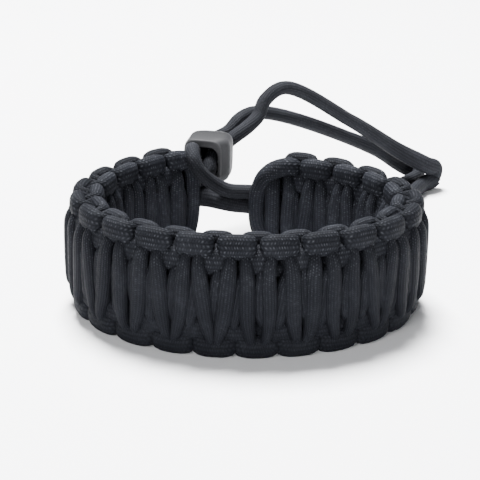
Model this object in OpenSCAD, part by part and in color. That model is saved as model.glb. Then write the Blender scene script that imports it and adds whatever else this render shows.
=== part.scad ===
// Paracord bracelet: an open oval band in a double cobra weave, lying on its edge,
// with a cord loop drawn through a two-strand stopper where the band's ends nearly meet.
// Millimetres, +Z up, floor at Z = 0, front at -Y; the wearer's wrist goes in along Z.

/* [Band] */
// Half the oval's width, measured on the band's middle line
oval_half_w = 35.6; // [32:0.1:40]
// Half the oval's depth, measured on the band's middle line
oval_half_d = 26.1; // [24:0.1:32]
// How much farther back the oval's left side comes round than its right side
lean = 9.2; // [0:0.2:10]
// How much farther back both sides come round than a plain oval
stretch = 3.1; // [0:0.1:4]
// Height of the band from edge to edge
band_h = 28; // [24:0.5:32]
// Thickness of the band at mid height
band_mid_t = 10.4; // [9:0.1:12]
// Length of one turn of the weave along the middle line
pitch = 8.6; // [8:0.1:9]
// Turns from the front of the oval to the band's left end
turns_left = 10.5; // [8:0.1:10.5]
// Turns from the front of the oval to the band's right end
turns_right = 11; // [9:0.1:11]
// How far the grooves between the face bars go in
rib_depth = 1.1; // [0:0.1:2]
// How far the notches between the edge turns go in
notch_depth = 1.3; // [0:0.1:2]
// Length over which the band's left end comes to a point
left_round = 7.5; // [5:0.5:14]
// Length over which the band's right end rounds off
right_round = 9.5; // [5:0.5:14]

/* [Cord] */
// Diameter of the cord where it runs free
cord_d = 3.5; // [3:0.1:3.6]

/* [Stopper] */
// Width of the stopper across its two strands
stopper_w = 9.4; // [9.3:0.1:11]
// Height of the stopper
stopper_h = 12; // [10:0.1:13]
// Length of the stopper along the cord
stopper_l = 8.8; // [7:0.1:9]
// Radius of the stopper's long corners
stopper_r = 2.2; // [1:0.1:3]
// Height of the mouth on its front
mouth_h = 8.6; // [5:0.1:9]
// Depth of the mouth
mouth_depth = 3.4; // [2:0.1:4]
// Turn of the stopper about the vertical, away from facing front
stopper_turn = 15; // [10:1:20]
// How far its right side swells out behind the front
stopper_swell = 1.6; // [0:0.1:2]

/* [Hidden] */
// Middle of the stopper's front face
stopper_at = [-9.3, 33.3, 22.8];
// Distance between the two strands side by side in the stopper, and the hole's height
strand_gap = cord_d + 0.2;
hole_h = cord_d + 0.7;
// Share of a turn by which the weave's first edge turn is off the front
phase = 0.39;
rings_per_turn = 8;
cord_sides = 8;
steps_per_span = 2;
// Share of the height left at the very tips, left and right, and of the thickness at both
left_tip_h = 0.22;
right_tip_h = 0.37;
tip_t = 0.55;

// A quarter of the band's section, from mid height on the face to the edge's middle valley:
// [share of half height, share of half thickness, share of the ribs, share of the notches]
quarter = [
    [0.00, 1.00, 1.0, 0.0],
    [0.34, 0.94, 1.0, 0.0],
    [0.62, 0.62, 0.6, 0.2],
    [0.76, 0.75, 0.1, 0.8],
    [0.93, 0.71, 0.0, 1.0],
    [1.00, 0.40, 0.0, 1.0],
    [0.91, 0.00, 0.0, 0.3],
];
last = len(quarter) - 1;

// The lower strand across the gap, from the band's right end into its left end
bridge = [[1.5, 24.8, 14.2], [-2, 25.6, 14.3], [-7, 28.5, 14.4], [-9, 29.3, 14.4]];
// The loop cord's centre line: out of the band's right end, through the stopper's left side,
// down the lower strand of the loop, round its fold, along the floor and round the bight, back
// up the upper strand, through the stopper's right side and into the band's left end.
route = [
    [1.5, 24.8, 17.9], [-3.4, 25.4, 18.1], [-8, 24.6, 21], [-10.5, 24, 23.8],
    [-11.6, 25, 26.3], [-11.8, 28, 27.3], [-11.5, 31, 26], [-10.9, 34.8, 23.2],
    [-8.6, 42.6, 22.8], [-6.7, 47, 23.4], [-2.4, 49.4, 25], [0.4, 51.8, 27.4],
    [3.6, 55, 28.1], [8, 57.6, 27.4], [16.8, 60, 24.6], [38.4, 73.4, 12.4],
    [46, 80.6, 5.8], [48.4, 83, 3.8], [51.4, 83.4, 2.2], [52, 80.2, 2],
    [46, 72.3, 2], [23, 51.2, 2], [28, 43, 2], [38, 48, 2],
    [50, 69.2, 2.1], [52.8, 73.8, 2], [55.5, 75.7, 2.7], [55.8, 75.8, 5.5],
    [53, 74, 7.2], [45.8, 72.8, 11.3], [30.3, 64.9, 23.2], [12, 56, 34.6],
    [6.9, 52.7, 32.2], [5.2, 50.6, 28.8], [2.4, 47.6, 26.8], [-1.8, 44.4, 24.6],
    [-4.8, 42.3, 22.7], [-7.3, 33.4, 22.7], [-7.8, 31.3, 20.5], [-10.1, 30.5, 18.5],
];

// The oval's middle line before it is centred, t degrees round from the front
function oval(t) =
    let (w = t / 180)
        [oval_half_w * sin(t), stretch * pow(w, 4) - lean / 2 * pow(w, 3) - oval_half_d * cos(t)];
// Running length along the oval for every whole degree, from its far left
lengths = [for (t = -180, s = 0; t <= 180; s = s + norm(oval(t + 1) - oval(t)), t = t + 1) [s, t]];
// The degrees round at s millimetres to the right of the front
function angle_at(s) = lookup(s + lengths[180][0], lengths);
function unit(v) = v / norm(v);
function outward(t) = let (along = oval(t + 0.5) - oval(t - 0.5)) unit([along[1], -along[0]]);

// How deep the groove is at a height share z, t turns away from the edge turn's middle
function groove(t, z) = (1 - cos(720 * (t - 0.25 + 0.08 * z))) / 2;
// How deep the notch is, t turns away from the edge turn's middle
function notch(t) = pow(sin(180 * t), 6);
function turns_from(u) = abs(u - round(u));

// A point of the section: row i of the quarter, on the outer (1) or inner (-1) face,
// in the upper (1) or lower (-1) half, at u turns along the band
function section_point(u, i, face, half) =
    let (
        row = quarter[i],
        t = turns_from(face * half > 0 ? u : u + 0.5),
        cut = notch_depth * row[3] * notch(t),
        n = band_mid_t / 2 * row[1] - rib_depth * row[2] * groove(t, row[0]) - (i < last ? cut : 0),
        z = band_h / 2 * row[0] - cut
    ) [face * n, half * z];
// The whole section, once round: outer upper, inner upper, inner lower, outer lower
function section(u) = concat(
    [for (i = [0:last]) section_point(u, i, 1, 1)],
    [for (i = [last - 1:-1:0]) section_point(u, i, -1, 1)],
    [for (i = [1:last]) section_point(u, i, -1, -1)],
    [for (i = [last - 1:-1:1]) section_point(u, i, 1, -1)]
);
// How much of the section is there at a share of the way in from a tip, sharper for a greater power
function rounding(share, power) = share >= 1 ? 1 : pow(1 - pow(1 - share, 2), power);
function ring(u) =
    let (
        t = angle_at((u - phase) * pitch),
        middle = oval(t),
        out = outward(t),
        left = rounding(pitch * (u - first_u) / left_round, 1),
        right = rounding(pitch * (last_u - u) / right_round, 0.5),
        high = min(left_tip_h + (1 - left_tip_h) * left, right_tip_h + (1 - right_tip_h) * right),
        thick = tip_t + (1 - tip_t) * min(left, right)
    ) [
        for (p = section(u))
            [middle[0] + out[0] * p[0] * thick, middle[1] + out[1] * p[0] * thick, band_h / 2 + p[1] * high]
    ];
first_u = phase - turns_left;
last_u = phase + turns_right;
ring_count = round((last_u - first_u) * rings_per_turn);
band_rings = [for (i = [0:ring_count]) ring(first_u + (last_u - first_u) * i / ring_count)];

// The shift that brings the part's origin under the middle of the band's own box
band_points = [for (r = band_rings) each r];
centring = [for (k = [0:1]) let (v = [for (p = band_points) p[k]]) -(min(v) + max(v)) / 2];

// A closed skin over rings of equal length, with a fan over each end
function mean(points) = [for (p = points) 1 / len(points)] * points;
module skin(rings) {
    m = len(rings[0]);
    n = len(rings);
    points = concat([for (r = rings) each r], [mean(rings[0]), mean(rings[n - 1])]);
    walls = [
        for (i = [0:n - 2], j = [0:m - 1])
            let (a = i * m + j, b = i * m + (j + 1) % m)
                each [[a, b, b + m], [a, b + m, a + m]]
    ];
    caps = [
        for (j = [0:m - 1])
            let (k = (j + 1) % m, top = (n - 1) * m)
                each [[n * m, k, j], [n * m + 1, top + j, top + k]]
    ];
    polyhedron(points, concat(walls, caps), convexity = 12);
}

// A smooth line through hand-chosen points: a centripetal spline, steps_per_span steps a span
function between(a, b, ta, tb, t) = (a * (tb - t) + b * (t - ta)) / (tb - ta);
function spline_point(p, share) =
    let (
        t1 = sqrt(norm(p[1] - p[0])),
        t2 = t1 + sqrt(norm(p[2] - p[1])),
        t3 = t2 + sqrt(norm(p[3] - p[2])),
        t = t1 + share * (t2 - t1),
        a = between(p[0], p[1], 0, t1, t),
        b = between(p[1], p[2], t1, t2, t),
        c = between(p[2], p[3], t2, t3, t),
        d = between(a, b, 0, t2, t),
        e = between(b, c, t1, t3, t)
    ) between(d, e, t1, t2, t);
function smooth(points) =
    let (
        n = len(points),
        p = concat([2 * points[0] - points[1]], points, [2 * points[n - 1] - points[n - 2]])
    ) concat(
        [for (i = [0:n - 2], k = [0:steps_per_span - 1])
            spline_point([for (j = [0:3]) p[i + j]], k / steps_per_span)],
        [points[n - 1]]
    );

// Rings square to a line, turned as little as possible from one to the next
function heading(line, i) = unit(line[min(i + 1, len(line) - 1)] - line[max(i - 1, 0)]);
function squared(v, along) = unit(v - along * (v * along));
function tube_rings(line) = [
    for (
        i = 0, side = squared([0, 0, 1], heading(line, 0));
        i < len(line);
        i = i + 1, side = squared(side, heading(line, min(i, len(line) - 1)))
    )
        let (across = cross(side, heading(line, i))) [
            for (j = [0:cord_sides - 1])
                let (a = 360 * (j + 0.5) / cord_sides)
                    line[i] + cord_d / 2 / cos(180 / cord_sides) * (side * cos(a) + across * sin(a))
        ]
];

module woven_band() {
    color("#1b1c20") translate(centring) skin(band_rings);
}

module bridge_strand() {
    color("#26272c") translate(centring) skin(tube_rings(bridge));
}

module loop_cord() {
    color("#2a2b31") translate(centring) skin(tube_rings(smooth(route)));
}

// A rounded oblong in the stopper's front plane
module oblong(w, h, r) {
    offset(r, $fn = 16) square([w - 2 * r, h - 2 * r], center = true);
}
module cord_stopper() {
    rim = 0.6;
    hole_w = strand_gap + hole_h;
    wide = stopper_w + stopper_swell;
    color("#6d6e72") translate(centring) translate(stopper_at) rotate([0, 0, -stopper_turn]) rotate([-90, 0, 0])
        difference() {
            hull() {
                linear_extrude(0.1) oblong(stopper_w - rim, stopper_h - rim, stopper_r);
                translate([0, 0, rim]) linear_extrude(0.1) oblong(stopper_w, stopper_h, stopper_r);
                translate([stopper_swell / 2, 0, 4 * rim])
                    linear_extrude(stopper_l - 9 * rim) oblong(wide, stopper_h, stopper_r);
                translate([stopper_swell / 2, 0, stopper_l - 0.1])
                    linear_extrude(0.1) oblong(wide - 2 * rim, stopper_h - 4 * rim, stopper_r);
            }
            translate([0, 0, -1]) linear_extrude(stopper_l + 2) oblong(hole_w, hole_h, 0.35 * hole_h);
            translate([0, 0, -1]) linear_extrude(mouth_depth + 1) oblong(hole_w, mouth_h, stopper_r);
        }
}

woven_band();
bridge_strand();
loop_cord();
cord_stopper();
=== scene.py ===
"""Looks of the paracord bracelet: two cords knotted into an outer and an inner cobra weave,
the strands across the gap between its ends, the loop behind it and the moulded stopper."""

import bpy
import numpy as np
from mathutils import Matrix, Vector


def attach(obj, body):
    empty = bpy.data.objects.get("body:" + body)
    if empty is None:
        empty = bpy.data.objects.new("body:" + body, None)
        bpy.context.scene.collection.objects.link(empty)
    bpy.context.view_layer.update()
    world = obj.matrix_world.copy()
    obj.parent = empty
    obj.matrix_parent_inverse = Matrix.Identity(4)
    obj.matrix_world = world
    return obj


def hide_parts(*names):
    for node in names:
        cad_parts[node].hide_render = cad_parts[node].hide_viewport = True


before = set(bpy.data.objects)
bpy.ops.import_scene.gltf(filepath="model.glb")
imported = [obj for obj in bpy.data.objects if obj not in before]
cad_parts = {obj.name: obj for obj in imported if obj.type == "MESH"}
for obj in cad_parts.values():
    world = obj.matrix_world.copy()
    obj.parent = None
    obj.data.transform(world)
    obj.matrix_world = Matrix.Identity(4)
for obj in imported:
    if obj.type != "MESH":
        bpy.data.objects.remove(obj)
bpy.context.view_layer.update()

# Sizes are in millimetres, and places along the band in turns of the weave
MM = 0.001
UP = np.array([0, 0, 1.0])

# The band's oval, its height, one turn of its weave, and how far the first edge turn is off the front
OVAL_HALF_WIDTH = 35.6
OVAL_HALF_DEPTH = 26.1
OVAL_LEAN = 9.2
OVAL_STRETCH = 3.1
CENTRING = np.array([0.0614, -0.8586])
SHIFT = np.array([CENTRING[0], CENTRING[1], 0])
BAND_HEIGHT = 28.0
TURN = 8.6
FIRST_EDGE_TURN = 0.39

# The cord: its diameter, the columns of picks round it, picks for each millimetre and their depth in
# metres, the sides of a strand's ring, how square a strand is pressed, and the distance between rings
CORD = 3.5
SHEATH_COLUMNS = 18
PICKS_PER_MM = 2.0
PICK_DEPTH = 0.0001
STRAND_SIDES = 20
PRESSED_SQUARE = 0.88
ring_step = 0.7
free_ring_step = ring_step * 0.7


# The middle line of the band and the ways to place things on it


def oval_table():
    """The oval as columns of length, x, y and outward direction. A point t half circles round from
    the front is (half width times sin, stretch t^4 - lean/2 t^3 - half depth times cos)."""
    t = np.linspace(-1.02, 1.02, 6001)
    x = OVAL_HALF_WIDTH * np.sin(np.pi * t)
    y = OVAL_STRETCH * t**4 - OVAL_LEAN / 2 * t**3 - OVAL_HALF_DEPTH * np.cos(np.pi * t)
    length = np.concatenate([[0], np.cumsum(np.hypot(np.diff(x), np.diff(y)))])
    length -= np.interp(0, t, length)
    along_x, along_y = np.gradient(x), np.gradient(y)
    size = np.hypot(along_x, along_y)
    return length, x, y, along_y / size, -along_x / size


OVAL = oval_table()


def run_at(turns):
    """The length along the middle line from the front, at so many turns."""
    return (np.asarray(turns) - FIRST_EDGE_TURN) * TURN


def on_band(turns, out, height):
    """Points at so many turns of the weave from the front edge turn, so far out of the middle
    line, and at a height above the band's middle."""
    length, x, y, out_x, out_y = OVAL
    run = run_at(turns)
    px = np.interp(run, length, x) + np.interp(run, length, out_x) * out
    py = np.interp(run, length, y) + np.interp(run, length, out_y) * out
    pz = BAND_HEIGHT / 2 + np.asarray(height)
    return np.stack([px + CENTRING[0], py + CENTRING[1], pz + 0 * px], -1)


def outward(turns):
    """The band's outward direction at so many turns."""
    length, _, _, out_x, out_y = OVAL
    run = run_at(turns)
    px, py = np.interp(run, length, out_x), np.interp(run, length, out_y)
    return np.stack([px, py, 0 * px], -1)


def unit(v):
    """Each vector over its own length."""
    return v / np.linalg.norm(v, axis=-1, keepdims=True)


def with_outer_rows(points):
    """The points with one more row before and after, each as far on as its neighbour is back."""
    before = 2 * points[:1] - points[1:2]
    after = 2 * points[-1:] - points[-2:-1]
    return np.concatenate([before, points, after])


def spline(points, steps):
    """A Catmull-Rom curve through the rows of points with equal parameters: between rows b and c
    it is half of (2b + (c-a)t + (2a-5b+4c-d)t^2 + (3b-a-3c+d)t^3)."""
    rows = with_outer_rows(points)
    a, b, c, d = (rows[i : len(rows) - 3 + i, None] for i in range(4))
    t = (np.arange(steps) / steps)[None, :, None]
    bend = (2 * a - 5 * b + 4 * c - d) * t**2 + (3 * b - a - 3 * c + d) * t**3
    curve = (2 * b + (c - a) * t + bend) / 2
    return np.concatenate([curve.reshape(-1, points.shape[1]), points[-1:]])


def even_spline(points, steps):
    """A centripetal Catmull-Rom curve through points, whose parameter grows with the square root
    of each span, so that it neither loops nor swings out where the spans differ."""
    rows = with_outer_rows(points)
    spans = np.sqrt(np.linalg.norm(np.diff(rows, axis=0), axis=1))
    knots = np.concatenate([[0], np.cumsum(spans)])
    p = [rows[i : len(rows) - 3 + i, None, :] for i in range(4)]
    k = [knots[i : len(knots) - 3 + i, None, None] for i in range(4)]
    t = k[1] + (k[2] - k[1]) * (np.arange(steps) / steps)[None, :, None]

    def between(a, b, low, high):
        return (a * (high - t) + b * (t - low)) / (high - low)

    one = [between(p[i], p[i + 1], k[i], k[i + 1]) for i in range(3)]
    two = [between(one[i], one[i + 1], k[i], k[i + 2]) for i in range(2)]
    curve = between(two[0], two[1], k[1], k[2])
    return np.concatenate([curve.reshape(-1, 3), points[-1:]])


def run_length(points):
    """The length from the first point to each point."""
    return np.concatenate([[0], np.cumsum(np.linalg.norm(np.diff(points, axis=0), axis=1))])


def respaced(points, step):
    """The same columns at equal steps of the length of the first three."""
    length = run_length(points[:, :3])
    where = np.linspace(0, length[-1], max(3, int(length[-1] / step) + 1))
    return np.stack([np.interp(where, length, column) for column in points.T], -1)


def rounded(angle, power):
    """Cosine and sine of an angle, each raised to a power with its sign kept: below 1 the round
    that they draw is squarer."""
    return (np.sign(v) * np.abs(v) ** power for v in (np.cos(angle), np.sin(angle)))


def carried(path, towards, half_width, half_thick, power):
    """A ring of points round each path point: middle + width side cos a + thickness side sin a,
    the thickness side being the towards direction squared to the path. A power below 1 on both
    makes the ring squarer."""
    along = unit(np.gradient(path, axis=0))
    up = unit(towards - (towards * along).sum(-1, keepdims=True) * along)
    side = np.cross(up, along)
    cos, sin = rounded(2 * np.pi * np.arange(STRAND_SIDES) / STRAND_SIDES, power)
    wide = np.broadcast_to(half_width, len(path))[:, None, None] * cos[None, :, None]
    thick = np.broadcast_to(half_thick, len(path))[:, None, None] * sin[None, :, None]
    return path[:, None] + side[:, None] * wide + up[:, None] * thick


# Meshes


def placed(name, data):
    """A new object in the scene that holds a mesh, camera or light."""
    thing = bpy.data.objects.new(name, data)
    bpy.context.scene.collection.objects.link(thing)
    return thing


def smooth_piece(name, mesh, material):
    """The object of a mesh that is smooth all over, in its material."""
    mesh.polygons.foreach_set("use_smooth", np.ones(len(mesh.polygons), bool))
    mesh.materials.append(material)
    mesh.update()
    return placed(name, mesh)


def grid_faces(rows, cols):
    """Quads between neighbouring rings, and a fan on each end's middle point, all facing out."""
    start = (np.arange(rows - 1) * cols)[:, None]
    here = np.arange(cols)[None, :]
    there = (here + 1) % cols
    quads = np.stack([start + here, start + there, start + cols + there, start + cols + here], -1)
    last, pole = (rows - 1) * cols, rows * cols
    first_fan = np.stack([0 * here + pole, there, here], -1)
    last_fan = np.stack([0 * here + pole + 1, last + here, last + there], -1)
    return quads.reshape(-1, 4).tolist() + first_fan[0].tolist() + last_fan[0].tolist()


def grid_uv(along, cols):
    """Corner by corner in the order of grid_faces: share of the way round, and length along."""
    here = np.broadcast_to(np.arange(cols) / cols, (len(along) - 1, cols))
    there = here + 1 / cols
    low = np.broadcast_to(along[:-1, None], here.shape)
    high = np.broadcast_to(along[1:, None], here.shape)
    quads = np.stack([here, low, there, low, there, high, here, high], -1).reshape(-1, 2)
    one, two = here[0], there[0]
    middle = one + 0.5 / cols
    first, last = 0 * one + along[0], 0 * one + along[-1]
    first_fan = np.stack([middle, first, two, first, one, first], -1).reshape(-1, 2)
    last_fan = np.stack([middle, last, one, last, two, last], -1).reshape(-1, 2)
    return np.concatenate([quads, first_fan, last_fan])


def surface(name, grids, material):
    """One mesh object from tubes, each given as (ring points in millimetres, lengths along, how
    much painted fill light each point gets)."""
    verts, faces, uvs, wrist, base = [], [], [], [], 0
    for points, along, against in grids:
        rows, cols = points.shape[:2]
        ends = np.stack([points[0].mean(0), points[-1].mean(0)])
        verts.append(np.concatenate([points.reshape(-1, 3), ends]))
        faces += [[i + base for i in face] for face in grid_faces(rows, cols)]
        uvs.append(grid_uv(along, cols))
        wrist.append(np.concatenate([against.ravel(), [against[0].mean(), against[-1].mean()]]))
        base += rows * cols + 2
    mesh = bpy.data.meshes.new(name)
    mesh.from_pydata((np.concatenate(verts) * MM).tolist(), [], faces)
    mesh.uv_layers.new(name="sheath").data.foreach_set("uv", np.concatenate(uvs).ravel())
    # The share of painted fill light at each point, which makes the inside face paler
    mesh.attributes.new("wrist", "FLOAT", "POINT").data.foreach_set("value", np.concatenate(wrist))
    return smooth_piece(name, mesh, material)


# Camera

# Where it stands, and its lens and sensor
CAMERA_AT = np.array([-18.27, -319.66, 144.53])
LENS = 115.0
SENSOR = 36
# How it is turned, in radians: down, about the vertical, and about its own line of sight
TILT = np.radians(22.0)
TURNED_BY = 0.05
ROLL = 0.02
# How far the line of sight is then moved right and down, as shares of its length
AIM_RIGHT = 0.00272
AIM_DOWN = 0.00022


def place_camera():
    """A long lens in front of the band, looking down on it by about 22 degrees."""
    lens = bpy.data.cameras.new("camera")
    lens.sensor_width = SENSOR
    lens.lens = LENS
    lens.clip_start = 0.01
    camera = placed("camera", lens)
    right = np.array([1.0, 0, 0])
    ahead = np.array([0, np.cos(TILT), -np.sin(TILT)])
    above = np.cross(right, ahead)
    right, above = (
        np.cos(ROLL) * right + np.sin(ROLL) * above,
        np.cos(ROLL) * above - np.sin(ROLL) * right,
    )
    ahead = unit(ahead + AIM_RIGHT * right - AIM_DOWN * above)
    right = unit(np.cross(ahead, above))
    above = np.cross(right, ahead)
    cos, sin = np.cos(TURNED_BY), np.sin(TURNED_BY)
    turned = np.array([[cos, sin, 0], [-sin, cos, 0], [0, 0, 1]])
    axes = turned @ np.stack([right, above, -ahead], -1)
    place = Matrix.Translation(Vector(CAMERA_AT * MM))
    camera.matrix_world = place @ Matrix(axes.tolist()).to_4x4()
    bpy.context.scene.camera = camera


# Materials


def put(tree, node, key, value):
    """Sets one input of a node to a value, or joins it to an output."""
    if isinstance(value, bpy.types.NodeSocket):
        tree.links.new(value, node.inputs[key])
    else:
        node.inputs[key].default_value = value


def add_node(tree, kind, inputs=(), **settings):
    """A new node with its settings, and its inputs set to a value or joined to an output."""
    node = tree.nodes.new(kind)
    for key, value in settings.items():
        setattr(node, key, value)
    for key, value in dict(inputs).items():
        put(tree, node, key, value)
    return node


def sums(tree, operation, *values):
    """The output of a Math node on numbers or other outputs."""
    return add_node(tree, "ShaderNodeMath", dict(enumerate(values)), operation=operation).outputs[0]


def ramp(tree, value, low, high, at_low=0.0, at_high=1.0):
    """A value's way from low to high, held within them, brought to the range at_low to at_high."""
    inputs = {0: value, 1: low, 2: high, 3: at_low, 4: at_high}
    return add_node(tree, "ShaderNodeMapRange", inputs).outputs[0]


def mix_colour(tree, share, first, second):
    """The colour between first and second at a share."""
    inputs = {0: share, 6: first, 7: second}
    return add_node(tree, "ShaderNodeMix", inputs, data_type="RGBA").outputs[2]


def bumped(tree, height, distance, strength):
    """The normal of a surface that a height raises by up to a distance in metres."""
    inputs = {"Height": height, "Distance": distance, "Strength": strength}
    return add_node(tree, "ShaderNodeBump", inputs).outputs[0]


def colour(r, g, b):
    """A colour with nothing see-through in it."""
    return (r, g, b, 1.0)


def new_group(name, takes, gives):
    """An empty shader node group with named inputs and outputs, and its input and output node."""
    group = bpy.data.node_groups.new(name, "ShaderNodeTree")
    for label, kind, value in takes:
        socket = group.interface.new_socket(label, in_out="INPUT", socket_type=kind)
        if value is not None:
            socket.default_value = value
    for label, kind in gives:
        group.interface.new_socket(label, in_out="OUTPUT", socket_type=kind)
    return group, group.nodes.new("NodeGroupInput"), group.nodes.new("NodeGroupOutput")


def braided_sheath():
    """The picks of a braided sheath. Columns run along the cord; in each column slanted picks
    follow one another, leaning left and right in turn, and each is a rounded oval. The glint, a
    painted highlight, is the crest of a pick, on some picks more than on others."""
    group, inside, outside = new_group(
        "braided sheath",
        [
            ("Sheath Map", "NodeSocketVector", None),
            ("Columns", "NodeSocketFloat", float(SHEATH_COLUMNS)),
            ("Picks per mm", "NodeSocketFloat", PICKS_PER_MM),
            ("Slant", "NodeSocketFloat", 1.0),
        ],
        [
            ("Height", "NodeSocketFloat"),
            ("Pick", "NodeSocketFloat"),
            ("Shade", "NodeSocketFloat"),
            ("Painted Glint", "NodeSocketFloat"),
        ],
    )
    take = inside.outputs
    split = add_node(group, "ShaderNodeSeparateXYZ", {0: take["Sheath Map"]})
    across = sums(group, "MULTIPLY", split.outputs["X"], take["Columns"])
    column = sums(group, "FLOOR", across)
    in_column = sums(group, "SUBTRACT", across, column)
    odd = sums(group, "MODULO", column, 2.0)
    lean = sums(group, "MULTIPLY", sums(group, "SUBTRACT", odd, 0.5), take["Slant"])
    off = sums(group, "MULTIPLY", sums(group, "SUBTRACT", in_column, 0.5), lean)
    steps = sums(group, "MULTIPLY", split.outputs["Y"], take["Picks per mm"])
    along = sums(group, "ADD", sums(group, "ADD", steps, off), sums(group, "MULTIPLY", odd, 0.5))
    pick = sums(group, "FLOOR", along)
    in_pick = sums(group, "SUBTRACT", along, pick)
    round_across = sums(group, "SINE", sums(group, "MULTIPLY", in_column, np.pi))
    round_along = sums(group, "SINE", sums(group, "MULTIPLY", in_pick, np.pi))
    full_across = sums(group, "POWER", round_across, 0.6)
    full_along = sums(group, "POWER", round_along, 0.5)
    dome = sums(group, "MULTIPLY", full_across, full_along)
    seed = add_node(group, "ShaderNodeCombineXYZ", {0: column, 1: pick}).outputs[0]
    noise = add_node(group, "ShaderNodeTexWhiteNoise", {"Vector": seed}, noise_dimensions="2D")
    chance = noise.outputs["Value"]
    # Painted highlight: the glint is the bright crest of each pick, shown on a random share of picks
    crest = sums(group, "POWER", sums(group, "MULTIPLY", round_across, round_along), 5.0)
    lucky = ramp(group, chance, low=0.35, high=0.95)
    put(group, outside, "Height", dome)
    put(group, outside, "Pick", sums(group, "POWER", dome, 2.0))
    put(group, outside, "Shade", chance)
    put(group, outside, "Painted Glint", sums(group, "MULTIPLY", crest, lucky))
    return group


def handling():
    """Patches where the surface is a little rubbed: soft noise over the piece, sharpened."""
    group, inside, outside = new_group(
        "handling",
        [
            ("Place", "NodeSocketVector", None),
            ("Patch Size", "NodeSocketFloat", 0.006),
            ("Amount", "NodeSocketFloat", 0.5),
        ],
        [("Mask", "NodeSocketFloat")],
    )
    take = inside.outputs
    scale = sums(group, "DIVIDE", 1.0, take["Patch Size"])
    inputs = {"Vector": take["Place"], "Scale": scale, "Detail": 4.0}
    noise = add_node(group, "ShaderNodeTexNoise", inputs).outputs[0]
    soft = ramp(group, noise, low=0.4, high=0.65)
    put(group, outside, "Mask", sums(group, "MULTIPLY", soft, take["Amount"]))
    return group


SHEATH = braided_sheath()
HANDLING = handling()


def use_group(tree, group, inputs):
    """The outputs of a node group placed in a material with its own values."""
    node = tree.nodes.new("ShaderNodeGroup")
    node.node_tree = group
    for key, value in inputs.items():
        put(tree, node, key, value)
    return node.outputs


def new_material(name):
    """A material with an empty Principled surface, its node tree and that surface node."""
    material = bpy.data.materials.new(name)
    material.use_nodes = True
    return material, material.node_tree, material.node_tree.nodes["Principled BSDF"]


def nylon_cord(name, groove_shade, thread, rubbed, glint):
    """Black braided nylon: painted shade between the picks, each pick a little different, paler where
    it is rubbed, paler by painted fill light on the inside face below the upper edge, and with
    painted highlights on the crests of the picks, more so towards the upper edge. Heights are in
    metres above the floor."""
    material, tree, skin = new_material(name)
    uv = add_node(tree, "ShaderNodeUVMap", uv_map="sheath").outputs[0]
    place = add_node(tree, "ShaderNodeTexCoord").outputs["Object"]
    height = add_node(tree, "ShaderNodeSeparateXYZ", {0: place}).outputs["Z"]
    braid = use_group(
        tree,
        SHEATH,
        {"Sheath Map": uv, "Columns": float(SHEATH_COLUMNS), "Picks per mm": PICKS_PER_MM},
    )
    worn = use_group(tree, HANDLING, {"Place": place})
    # Painted shade: the groove colour darkens the creases between the picks
    body = mix_colour(tree, braid["Pick"], colour(*groove_shade), colour(*thread))
    varied = sums(tree, "MULTIPLY", worn["Mask"], braid["Shade"])
    body = mix_colour(tree, varied, body, colour(*rubbed))
    # Painted highlight: glints on the pick crests, stronger towards the upper edge as if lit from above
    upper = ramp(tree, height, low=0.010, high=0.021, at_low=0.12, at_high=1.0)
    painted_shine = sums(tree, "MULTIPLY", braid["Painted Glint"], upper)
    body = mix_colour(tree, painted_shine, body, colour(*glint))
    # Painted fill light: the inside face is made paler as if lit, less so near the upper edge
    wrist = add_node(tree, "ShaderNodeAttribute", attribute_name="wrist").outputs["Fac"]
    below = ramp(tree, height, low=0.0185, high=0.0235, at_low=1.0, at_high=0.45)
    paler = sums(tree, "ADD", 1.0, sums(tree, "MULTIPLY", wrist, below))
    body = add_node(tree, "ShaderNodeVectorMath", {0: body, "Scale": paler}, operation="SCALE")
    put(tree, skin, "Base Color", body.outputs[0])
    put(tree, skin, "Normal", bumped(tree, braid["Height"], PICK_DEPTH, 1.0))
    put(tree, skin, "Roughness", ramp(tree, braid["Shade"], 0.0, 1.0, at_low=0.55, at_high=0.75))
    put(tree, skin, "Specular IOR Level", 0.025)
    return material


def moulded_plastic(name):
    """Dark grey moulded plastic: a fine pebbled skin, with rubbed patches a little paler and the top a
    good deal darker by painted shade. Heights are in metres above the floor."""
    material, tree, skin = new_material(name)
    place = add_node(tree, "ShaderNodeTexCoord").outputs["Object"]
    height = add_node(tree, "ShaderNodeSeparateXYZ", {0: place}).outputs["Z"]
    plain = colour(0.037, 0.0374, 0.04)
    rubbed = colour(0.046, 0.0465, 0.0495)
    painted_shade_top = colour(0.0085, 0.0087, 0.0097)
    worn = use_group(tree, HANDLING, {"Patch Size": 0.004, "Place": place})
    shade = mix_colour(tree, worn["Mask"], plain, rubbed)
    # Painted shade: the top is darkened where the overhead lamp lights it most
    top = ramp(tree, height, low=0.0266, high=0.0284)
    put(tree, skin, "Base Color", mix_colour(tree, top, shade, painted_shade_top))
    inputs = {"Vector": place, "Scale": 2600.0, "Detail": 3.0}
    grain = add_node(tree, "ShaderNodeTexNoise", inputs).outputs[0]
    put(tree, skin, "Roughness", ramp(tree, grain, 0.0, 1.0, at_low=0.5, at_high=0.7))
    put(tree, skin, "Normal", bumped(tree, grain, 0.00006, 0.6))
    put(tree, skin, "Specular IOR Level", 0.1)
    return material


# The loop and the lower strand across the gap


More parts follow.
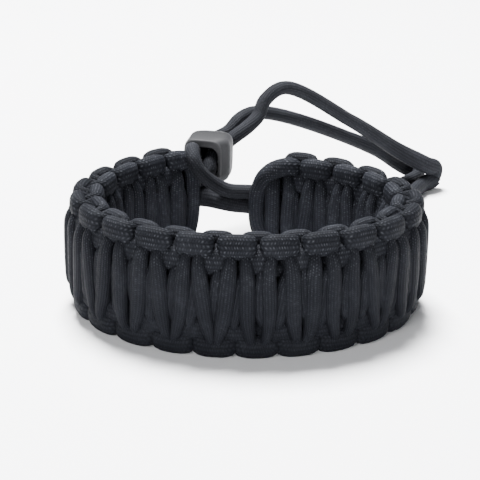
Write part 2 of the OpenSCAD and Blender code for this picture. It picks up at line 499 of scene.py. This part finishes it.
# The loop's middle line: out of the band's right end, through the stopper's left side, down the
# lower strand, round its fold, along the floor and round the bight, back up the upper strand,
# through the stopper's right side and into the band's left end
ROUTE = np.array([
    [1.5, 24.8, 17.9], [-3.4, 25.4, 18.1], [-8, 24.6, 21], [-10.5, 24, 23.8],
    [-11.6, 25, 26.3], [-11.8, 28, 27.3], [-11.5, 31, 26], [-10.9, 34.8, 23.2],
    [-8.6, 42.6, 22.8], [-6.7, 47, 23.4], [-2.4, 49.4, 25], [0.4, 51.8, 27.4],
    [3.6, 55, 28.1], [8, 57.6, 27.4], [16.8, 60, 24.6], [38.4, 73.4, 12.4],
    [46, 80.6, 5.8], [48.4, 83, 3.8], [51.4, 83.4, 2.2], [52, 80.2, 2],
    [46, 72.3, 2], [23, 51.2, 2], [28, 43, 2], [38, 48, 2],
    [50, 69.2, 2.1], [52.8, 73.8, 2], [55.5, 75.7, 2.7], [55.8, 75.8, 5.5],
    [53, 74, 7.2], [45.8, 72.8, 11.3], [30.3, 64.9, 23.2], [12, 56, 34.6],
    [6.9, 52.7, 32.2], [5.2, 50.6, 28.8], [2.4, 47.6, 26.8], [-1.8, 44.4, 24.6],
    [-4.8, 42.3, 22.7], [-7.3, 33.4, 22.7], [-7.8, 31.3, 20.5], [-10.1, 30.5, 18.5],
])
BRIDGE = np.array([[1.5, 24.8, 14.2], [-2, 25.6, 14.3], [-7, 28.5, 14.4], [-9, 29.3, 14.4]])
# Where a cord is thicker: x, how much taller each half of it is there, how far its middle is raised
LOOP_SWELL = np.array([[30, 0, 0], [42, 0.3, 0.25], [50, 0.6, 0.45], [60, 0.6, 0.45]])
BRIDGE_SWELL = np.array([[-9, 0.9, 0.8], [-5, 0.7, 0.6], [1, 0.1, 0.1]])
# Which way the thickness of a free cord faces, and how far its ends run on into the band
CORD_TOWARDS = np.array([0.35, 0.35, 0.87])
TAIL = 3.0
STEPS_PER_SPAN = 24


def free_cord(name, points, material, swell):
    """A round cord along the curve through points. Both ends run straight on into the band by
    TAIL. Swell is a table of x, how much taller each half of the cord is there, and how far its
    middle is raised. Gives the piece and its middle line without the tails."""
    path = respaced(even_spline(points + SHIFT, STEPS_PER_SPAN), free_ring_step)
    first = path[0] + unit(path[0] - path[2]) * TAIL
    last = path[-1] + unit(path[-1] - path[-3]) * TAIL
    whole = respaced(np.concatenate([[first], path, [last]]), free_ring_step)
    towards = np.broadcast_to(CORD_TOWARDS, whole.shape)
    at, taller, raised = swell.T
    half_tall = CORD / 2 + np.interp(whole[:, 0], at, taller)
    middle = whole + np.interp(whole[:, 0], at, raised)[:, None] * UP
    rings = carried(middle, towards, CORD / 2, half_tall, 1.0)
    return surface(name, [(rings, run_length(middle), 0 * rings[..., 0])], material), path


# The stopper

# Rings of the stopper, from its front edge back along the outside and home through the hole and
# the mouth: half width, half height, middle to the right, middle up, depth from the front, and the
# squareness of the lower and of the upper half
STOPPER = np.array([
    [4.30, 5.20, 0.0, -0.4, 0.00, 0.45, 0.45],
    [4.58, 5.48, 0.0, -0.4, 0.20, 0.45, 0.45],
    [4.70, 5.60, 0.0, -0.4, 0.60, 0.42, 0.42],
    [4.90, 5.62, 0.2, -0.38, 1.00, 0.42, 0.42],
    [5.50, 5.70, 0.8, -0.3, 2.40, 0.42, 0.42],
    [5.50, 5.75, 0.8, -0.25, 4.00, 0.42, 0.42],
    [5.50, 5.80, 0.8, -0.2, 5.80, 0.42, 0.42],
    [5.30, 5.50, 0.8, -0.1, 7.00, 0.42, 0.42],
    [4.95, 4.90, 0.8, 0.0, 8.70, 0.45, 0.45],
    [4.75, 4.70, 0.8, 0.0, 8.80, 0.50, 0.50],
    [4.15, 2.30, 0.0, 0.0, 8.80, 0.60, 0.60],
    [3.95, 2.10, 0.0, 0.0, 8.60, 0.60, 0.60],
    [3.95, 2.10, 0.0, 0.0, 6.00, 0.60, 0.60],
    [3.95, 2.10, 0.0, 0.0, 3.50, 0.60, 0.60],
    [3.95, 3.80, 0.0, -0.35, 3.40, 0.50, 0.60],
    [3.95, 3.85, 0.0, -0.35, 3.20, 0.50, 0.60],
    [3.95, 3.85, 0.0, -0.35, 0.35, 0.50, 0.60],
    [4.05, 4.00, 0.0, -0.35, 0.05, 0.48, 0.58],
])
# The middle of its front, how far it is turned about the vertical, and how finely it is divided
STOPPER_AT = np.array([-9.3, 33.3, 22.8])
STOPPER_TURN = np.radians(15.0)
STOPPER_SIDES = 72
STOPPER_STEPS = 3


def moulded_stopper(name, material):
    """The stopper: rounded oblong rings, half width times |cos|^p and half height times |sin|^p
    with p the squareness, carried round a closed way from the front back and home again."""
    rows = spline(np.concatenate([STOPPER, STOPPER[:1]]), STOPPER_STEPS)[:-1]
    half_width, half_height, to_right, up, depth, lower, upper = rows.T[..., None]
    angle = 2 * np.pi * (np.arange(STOPPER_SIDES) + 0.5) / STOPPER_SIDES
    cos, sin = rounded(angle, np.where(np.sin(angle) > 0, upper, lower))
    right = to_right + half_width * cos
    above = up + half_height * sin
    back = depth + 0 * cos
    x = np.cos(STOPPER_TURN) * right + np.sin(STOPPER_TURN) * back
    y = np.cos(STOPPER_TURN) * back - np.sin(STOPPER_TURN) * right
    points = np.stack([x, y, above], -1) + STOPPER_AT + SHIFT
    count, sides = cos.shape
    ring, step = np.arange(count)[:, None], np.arange(sides)[None, :]
    here, ahead = ring * sides, (ring + 1) % count * sides
    beside = (step + 1) % sides
    faces = np.stack([here + step, ahead + step, ahead + beside, here + beside], -1)
    mesh = bpy.data.meshes.new(name)
    mesh.from_pydata((points.reshape(-1, 3) * MM).tolist(), [], faces.reshape(-1, 4).tolist())
    return smooth_piece(name, mesh, material)


# The weave

# A quarter of one strand's way, from the middle of a face bar to the middle of an edge turn:
# turns before the edge turn at the upper and at the lower edge, out of the middle line, height at
# the upper and at the lower edge, half width at the upper and at the lower edge, half thickness,
# and how far the thickness has turned from facing out to facing up or down
QUARTER = np.array([
    [0.250, 0.250, 3.45, 0.0, 0.0, 1.94, 1.94, 1.60, 0.0],
    [0.268, 0.288, 3.42, 4.0, 4.6, 1.82, 1.76, 1.60, 0.0],
    [0.300, 0.362, 3.15, 7.2, 8.4, 1.48, 1.26, 1.65, 0.15],
    [0.335, 0.408, 1.70, 9.2, 10.0, 1.10, 1.20, 1.85, 0.6],
    [0.350, 0.415, -0.40, 10.4, 10.7, 0.97, 1.20, 2.20, 1.0],
    [0.310, 0.400, -1.75, 10.9, 10.95, 1.50, 1.60, 2.58, 1.0],
    [0.180, 0.220, -2.00, 11.18, 11.18, 1.80, 1.80, 2.74, 1.0],
    [0.000, 0.000, -2.05, 11.22, 11.22, 1.85, 1.85, 2.76, 1.0],
])
# How much each of these rows shares in what sets one bar off from the next
BAR_SHARE = np.array([1, 1, 0.8, 0.4, 0, 0, 0, 0])
# By how much bars differ: turns to the side and turns of lean at LEAN_HEIGHT, then millimetres out
# and of half width
BAR_CHANCE = np.array([0.026, 0.052])[:, None, None]
LEAN_HEIGHT = 8
FACE_CHANCE = 0.13
# The first and the last edge turn, counted in half turns of the weave from the front
FIRST_HALF_TURN = -19
LAST_HALF_TURN = 21
# The inner weave: shares of the outer one's height and depth, and turns to the side
INNER_HEIGHT = 0.68
INNER_DEPTH = 0.78
INNER_SHIFT = -0.17
# Edge turns that lie in from the edge: how far, from which height on, round the front by how many
# turns to each side, and on both sides round how many turns by how many
INNER_SUNK = 0.9
EDGE_FROM = 8.5
FRONT_SPREAD = 6
SIDES_AT = 7
SIDES_SPREAD = 2.2
# How far in from the middle line a point gets the painted fill light in full
INSIDE_LIGHT_DEPTH = 3
STEPS_PER_ROW = 5


def cobra_rows(top_turns, seed, shift=0.0):
    """Rows of one strand from the first edge turn to the last: turns, out, height, half width,
    half thickness, lift. Each half turn is the quarter from its edge turn to mid bar, then from
    mid bar to the next edge turn, with each bar a little off by hand, and all bars shifted by so
    many turns. The strand turns at the upper edge on half turns whose remainder by 2 is
    top_turns."""
    chance = np.random.default_rng(seed)
    half = np.arange(FIRST_HALF_TURN, LAST_HALF_TURN)[:, None]
    off, lean = np.clip(chance.standard_normal((2, len(half), 1)), -1.6, 1.6) * BAR_CHANCE
    out, width = FACE_CHANCE * np.clip(chance.standard_normal((2, len(half), 1)), -1.5, 1.2)
    off = off + shift
    rows = []
    for step, order in ((1, slice(None, None, -1)), (-1, slice(1, -1))):
        before_up, before_low, far, high_up, high_low, wide_up, wide_low, thick, lift = QUARTER[order].T
        share = BAR_SHARE[order]
        edge = half if step > 0 else half + 1
        side = np.where(edge % 2 == top_turns, 1.0, -1.0)
        before = np.where(side > 0, before_up, before_low)
        height = side * np.where(side > 0, high_up, high_low)
        turns = edge / 2 + step * before + (off + lean * height / LEAN_HEIGHT) * share
        wide = np.where(side > 0, wide_up, wide_low) + width * share
        rows.append(np.stack([turns, far + out * share, height, wide, thick + 0 * half, side * lift], -1))
    return np.concatenate(rows, 1).reshape(-1, 6)


# How a strand closes the band's end, from the last edge turn round to the far edge:
# turns, out, height, half width, half thickness, lift
RIGHT_CLOSE = np.array([
    [10.17, -1.85, 11.40, 1.8, 2.1, 1.0],
    [10.45, -2.00, 11.2, 1.9, 2.2, 0.9],
    [10.75, -2.05, 10.2, 2.0, 2.15, 0.6],
    [10.98, -2.00, 8.3, 2.1, 2.0, 0.2],
    [11.12, -1.95, 5.8, 2.0, 1.95, 0.0],
    [11.18, -1.90, 3.0, 2.0, 1.95, 0.0],
    [11.18, -1.90, 0.0, 2.0, 1.95, 0.0],
    [11.14, -1.90, -2.6, 2.0, 1.95, 0.0],
    [11.00, -1.95, -5.2, 2.0, 1.95, 0.0],
    [10.76, -2.00, -7.6, 2.0, 1.95, 0.0],
    [10.45, -1.90, -9.6, 1.9, 1.95, 0.0],
    [10.20, -1.20, -10.6, 1.5, 1.8, 0.0],
    [10.00, 0.20, -10.0, 1.2, 1.6, 0.0],
])
LEFT_CLOSE = np.array([
    [-9.05, -0.40, -10.2, 1.2, 1.6, 0.0],
    [-9.25, -1.60, -11.2, 1.7, 1.8, 0.0],
    [-9.50, -1.95, -10.6, 1.9, 1.95, 0.0],
    [-9.68, -1.95, -8.4, 1.95, 1.95, 0.0],
    [-9.80, -1.90, -5.5, 1.95, 1.95, 0.0],
    [-9.86, -1.85, -2.5, 1.95, 1.95, 0.0],
    [-9.88, -1.85, 0.5, 1.95, 1.95, 0.0],
    [-9.88, -1.85, 3.5, 1.95, 1.95, 0.0],
    [-9.88, -1.90, 6.6, 2.0, 1.95, 0.0],
    [-9.83, -2.00, 9.4, 2.1, 1.95, 0.3],
    [-9.68, -2.00, 11.2, 2.1, 2.1, 0.8],
])
UPSIDE_DOWN = np.array([1, 1, -1, 1, 1, -1])


def sunk(rows, face):
    """How far the edge turns lie in from the edge: those of the inside face most round the front,
    by the bell curve exp(-(turns/6)^2), those of the outside face most on both sides towards the
    back, by exp(-((|turns|-7)/2.2)^2)."""
    turns, out, height = rows[:, :3].T
    to_side = -face * out / 2
    at_edge = np.clip((np.abs(height) - EDGE_FROM) / 2, 0, 1)
    inside = np.clip(to_side, 0, 1) * np.exp(-((turns / FRONT_SPREAD) ** 2))
    outside = np.clip(-to_side, 0, 1) * np.exp(-(((np.abs(turns) - SIDES_AT) / SIDES_SPREAD) ** 2))
    return np.sign(height) * INNER_SUNK * (inside + outside) * at_edge


def strand(rows, face, height_share=1.0, depth_share=1.0):
    """The rings of a strand through rows of turns, out, height, half width, half thickness and
    lift, mirrored to the inside where face is -1, with its length along and how much painted fill
    light each point gets. Its thickness faces out, or up or down by the lift."""
    rows = spline(rows, STEPS_PER_ROW)
    height = (rows[:, 2] - sunk(rows, face)) * height_share
    path = on_band(rows[:, 0], face * rows[:, 1] * depth_share, height)
    table = respaced(np.concatenate([path, rows[:, :1], rows[:, 3:]], 1), ring_step)
    path = table[:, :3]
    turns, half_width, half_thick, lift = table[:, 3:].T
    out, lift = outward(turns), lift[:, None]
    towards = (1 - np.abs(lift)) * face * out + lift * UP
    rings = carried(path, towards, half_width, half_thick, PRESSED_SQUARE)
    # Points in from the middle line get painted fill light
    from_middle = rings - on_band(turns, 0, 0)[:, None]
    against = np.clip(-(from_middle * out[:, None]).sum(-1) / INSIDE_LIGHT_DEPTH, 0, 1)
    return rings, run_length(path), against


def outer_strand(top_turns, face, seed):
    """One of the two outer strands: it closes the left end, runs through all the edge turns and
    closes the right end. The strand of the inside face is turned upside down against the other."""
    rows = cobra_rows(top_turns, seed)
    left, right = LEFT_CLOSE, RIGHT_CLOSE
    if top_turns == 0:
        left, right = left * UPSIDE_DOWN, right * UPSIDE_DOWN
    return strand(np.concatenate([left, rows[1:-4], right]), face)


def inner_strand(top_turns, face, seed):
    """One of the two inner strands, lower and nearer the middle than the outer ones."""
    rows = cobra_rows(top_turns, seed, INNER_SHIFT)
    return strand(rows, face, INNER_HEIGHT, INNER_DEPTH)


def end_bars():
    """The last bar on each face before the right end closes. It stands at 10.72 turns and is bowed
    out by 1 - (height/9.6)^4."""
    height = np.linspace(-9.0, 9.0, 9)
    bow = 1 - (height / 9.6) ** 4
    flat = 0 * height
    out, half_width = 0.6 + 2.7 * bow, 1.5 + 0.35 * bow
    rows = np.stack([10.72 + flat, out, height, half_width, 1.6 + flat, flat], -1)
    return [strand(rows, face) for face in (1, -1)]


# Height and half width of each core strand
CORES = ((-9.3, 1.7), (-5.4, 1.9), (-1.8, 1.9), (1.8, 1.9), (5.4, 1.9), (9.3, 1.7))


def core_strands():
    """The strands that run inside the band from end to end, which stop light between the bars:
    level runs on the middle line."""
    turns = np.linspace(-9.7, 10.9, 160)
    flat = 0 * turns
    rows = [
        np.stack([turns, flat, height + flat, half + flat, half + flat, flat], -1)
        for height, half in CORES
    ]
    return [strand(row, 1) for row in rows]


def band_pieces(material):
    """The outer weave, the inner weave and the core strands, which stand for the band."""
    outer = [outer_strand(1, 1, seed=3), outer_strand(0, -1, seed=4)] + end_bars()
    inner = [inner_strand(0, 1, seed=5), inner_strand(1, -1, seed=6)]
    pieces = [
        surface("outer_weave", outer, material),
        surface("inner_weave", inner, material),
        surface("core_strands", core_strands(), material),
    ]
    for piece in pieces:
        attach(piece, "root")
        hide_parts("woven_band")


def build():
    """The camera, the finishes and all the pieces."""
    place_camera()
    loose = nylon_cord(
        "loose cord sheath",
        groove_shade=(0.0068, 0.0072, 0.0086),
        thread=(0.0125, 0.0132, 0.016),
        rubbed=(0.019, 0.02, 0.0235),
        glint=(0.026, 0.027, 0.031),
    )
    band = nylon_cord(
        "band cord sheath",
        groove_shade=(0.0036, 0.0039, 0.005),
        thread=(0.0074, 0.008, 0.0102),
        rubbed=(0.0125, 0.0133, 0.016),
        glint=(0.03, 0.0315, 0.036),
    )
    plastic = moulded_plastic("stopper plastic")

    loop, loop_path = free_cord("loop", ROUTE, loose, LOOP_SWELL)
    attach(loop, "root")
    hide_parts("loop_cord")
    lower, _ = free_cord("lower_gap_strand", BRIDGE, loose, BRIDGE_SWELL)
    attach(lower, "root")
    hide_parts("bridge_strand")
    stopper = moulded_stopper("stopper", plastic)
    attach(stopper, "root")
    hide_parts("cord_stopper")
    band_pieces(band)


# Floor and light, in metres and watts

FLOOR_HALF_SIDE = 2.5
FLOOR_COLOUR = (0.86, 0.865, 0.88)
FLOOR_ROUGHNESS = 0.7
SKY_COLOUR = (0.92, 0.94, 1.0)
SKY_STRENGTH = 0.12
# What the lamps point at, and for each its name, place, power, width and height. The strongest
# stands behind, so that the band's shadow falls forward; the low one lights its front edge.
LAMPS_AIM_AT = (0, 0, 0.01)
LAMPS = (
    ("overhead", (-0.08, 0.27, 0.8), 68.0, 0.3, 0.3),
    ("front", (-0.35, -0.75, 0.42), 7.5, 0.5, 0.5),
    ("low front", (0.2, -0.85, 0.07), 8.5, 0.9, 0.1),
)


def lay_floor():
    """A plain pale floor."""
    material, tree, skin = new_material("pale floor")
    put(tree, skin, "Base Color", colour(*FLOOR_COLOUR))
    put(tree, skin, "Roughness", FLOOR_ROUGHNESS)
    side = FLOOR_HALF_SIDE
    corners = [(-side, -side, 0), (side, -side, 0), (side, side, 0), (-side, side, 0)]
    mesh = bpy.data.meshes.new("floor")
    mesh.from_pydata(corners, [], [(0, 1, 2, 3)])
    mesh.materials.append(material)
    floor = placed("floor", mesh)


def light_studio():
    """A weak even sky and the three soft lamps."""
    world = bpy.data.worlds.new("studio")
    world.use_nodes = True
    sky = world.node_tree.nodes["Background"]
    put(world.node_tree, sky, "Color", colour(*SKY_COLOUR))
    put(world.node_tree, sky, "Strength", SKY_STRENGTH)
    bpy.context.scene.world = world
    for name, place, power, wide, tall in LAMPS:
        light = bpy.data.lights.new(name, "AREA")
        light.energy = power
        light.shape = "RECTANGLE"
        light.size = wide
        light.size_y = tall
        lamp = placed(name, light)
        lamp.location = place
        aim = Vector(LAMPS_AIM_AT) - Vector(place)
        lamp.rotation_euler = aim.to_track_quat("-Z", "Y").to_euler()


build()
lay_floor()
light_studio()
